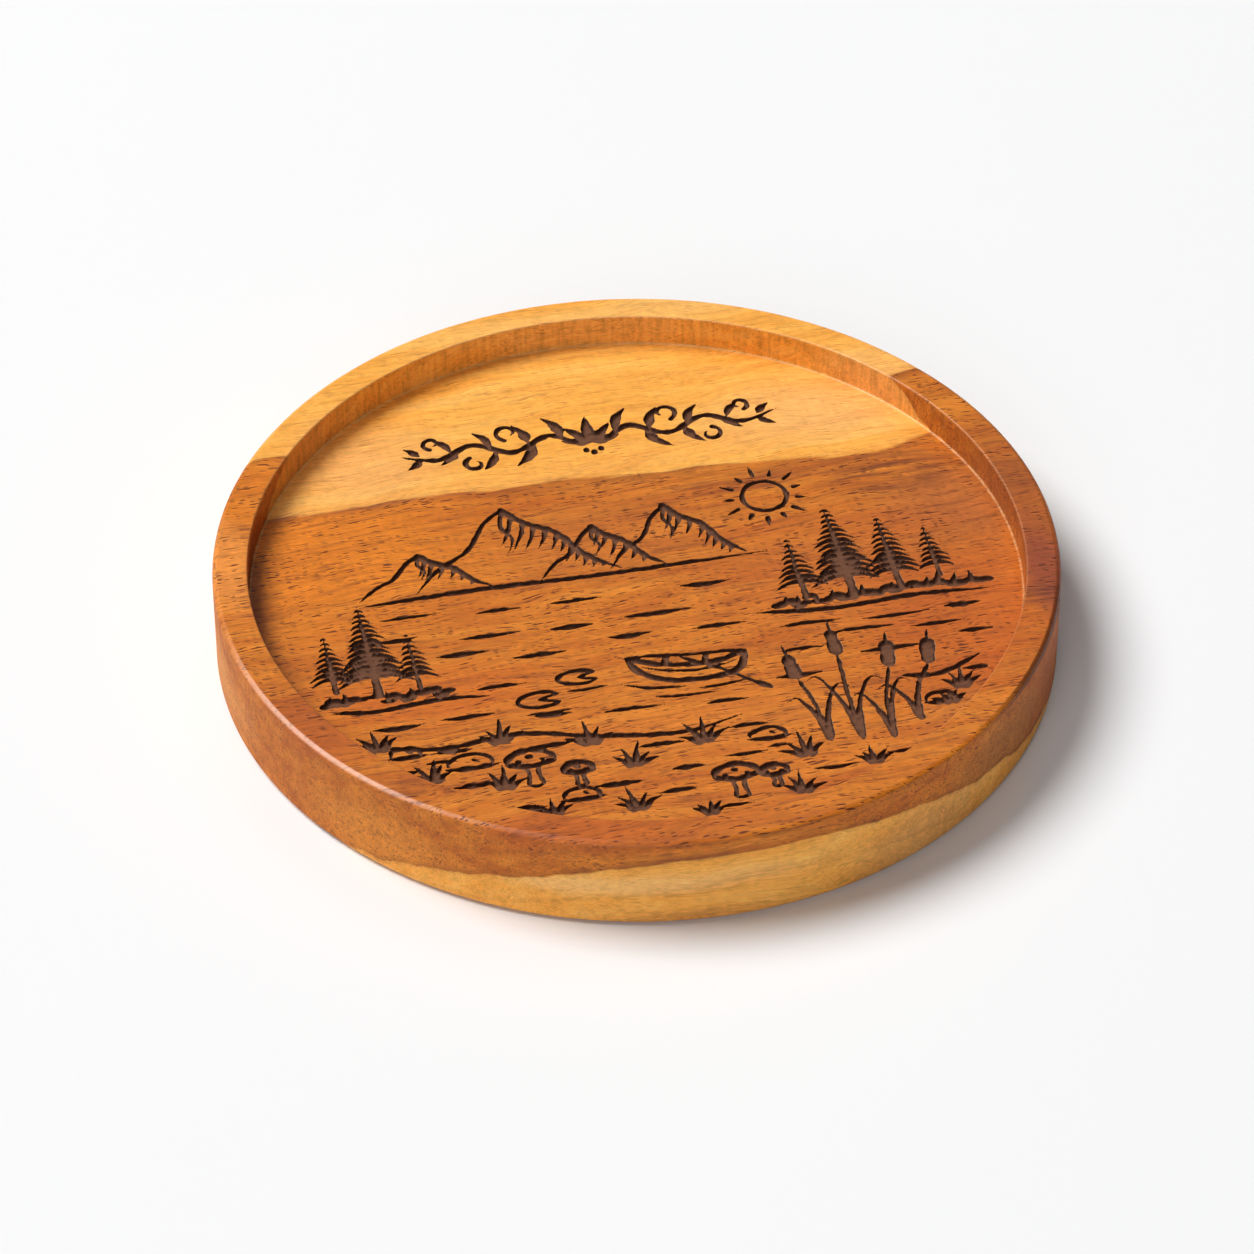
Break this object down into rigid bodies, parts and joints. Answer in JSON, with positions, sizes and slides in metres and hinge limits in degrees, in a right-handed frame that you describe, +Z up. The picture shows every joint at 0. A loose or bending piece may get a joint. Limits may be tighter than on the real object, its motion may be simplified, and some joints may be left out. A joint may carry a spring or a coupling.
{
  "type": "drink coaster",
  "caption": "Round wooden drink coaster, a shallow tray with an eased flat rim and a recess for a cup or glass, in two-tone wood, on small non-slip pads.",
  "frame": {"origin": "centre of the round footprint, on the surface that the coaster stands on, which is the underside of the pads", "axes": "+Z up, out of the cup recess; +X to the right and +Y to the back as the picture shows it, so the pale wood is on the +Y side"},
  "size_m": [0.1, 0.1, 0.0124],
  "materials": {
    "heartwood": "satin clear finish over orange-brown heartwood with dark pores",
    "sapwood": "satin clear finish over pale honey sapwood with fine brown pores",
    "pad_rubber": "matt"
  },
  "bodies": {
    "root": {"heartwood_core": "heartwood", "sapwood_back": "sapwood", "sapwood_front": "sapwood", "pad_front_left": "pad_rubber", "pad_front_right": "pad_rubber", "pad_back_left": "pad_rubber", "pad_back_right": "pad_rubber"}
  },
  "joints": []
}
